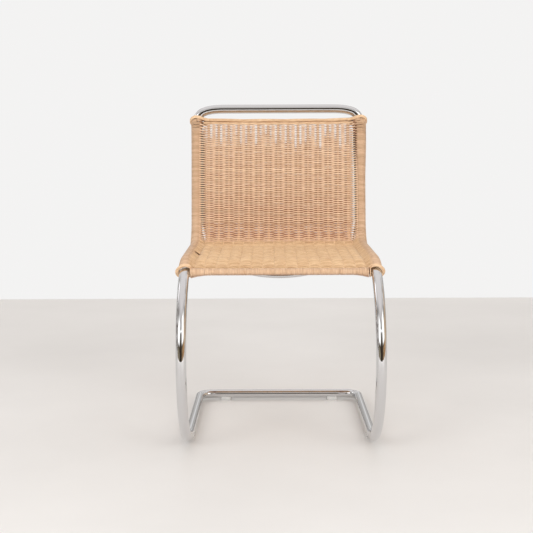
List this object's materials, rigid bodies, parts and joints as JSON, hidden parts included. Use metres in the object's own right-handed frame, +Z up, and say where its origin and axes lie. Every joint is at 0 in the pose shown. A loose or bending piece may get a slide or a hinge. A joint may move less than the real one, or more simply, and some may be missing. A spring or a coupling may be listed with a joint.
{
  "type": "cantilever chair",
  "caption": "Armless cantilever side chair: bent chromed round-tube frame with semicircular front legs on a U-shaped floor base, woven cane seat and back bound round the tubes.",
  "frame": {"origin": "middle of the footprint on the floor, the plane the glides stand on", "axes": "+Z up, +X to the right for someone looking at the chair's front (across the seat), the front of the seat faces -Y and the back leans towards +Y"},
  "size_m": [0.488, 0.645, 0.8292],
  "materials": {
    "chrome": "polished chrome plate on bent steel tube",
    "steel": "plain machined steel, hidden in the joints",
    "glide": "clear moulded plastic",
    "stake": "round cane, natural, lightly varnished",
    "weave": "woven round reed, honey tan, lightly varnished",
    "binding": "reed bound tightly round tube and border",
    "cane": "thicker cane, lightly varnished"
  },
  "bodies": {
    "root": {"upper_frame_tube": "chrome", "base_frame_tube": "chrome", "seat_cross_brace": "chrome", "joint_sleeve_left": "steel", "joint_sleeve_right": "steel", "joint_screws": "steel", "floor_glide_front_left": "glide", "floor_glide_front_right": "glide", "floor_glide_rear_left": "glide", "floor_glide_rear_right": "glide", "stake_pair_01": "stake", "stake_pair_02": "stake", "stake_pair_03": "stake", "stake_pair_04": "stake", "stake_pair_05": "stake", "stake_pair_06": "stake", "stake_pair_07": "stake", "stake_pair_08": "stake", "stake_pair_09": "stake", "stake_pair_10": "stake", "stake_pair_11": "stake", "stake_pair_12": "stake", "stake_pair_13": "stake", "stake_pair_14": "stake", "stake_pair_15": "stake", "seat_weave": "weave", "bend_weave": "weave", "back_weave": "weave", "side_wrap_left": "binding", "side_wrap_right": "binding", "front_border_binding": "binding", "front_border_core": "cane", "top_border_roll": "cane", "top_twist_row": "cane", "top_collar_left": "cane", "top_collar_right": "cane", "front_collar_left": "cane", "front_collar_right": "cane"}
  },
  "joints": []
}
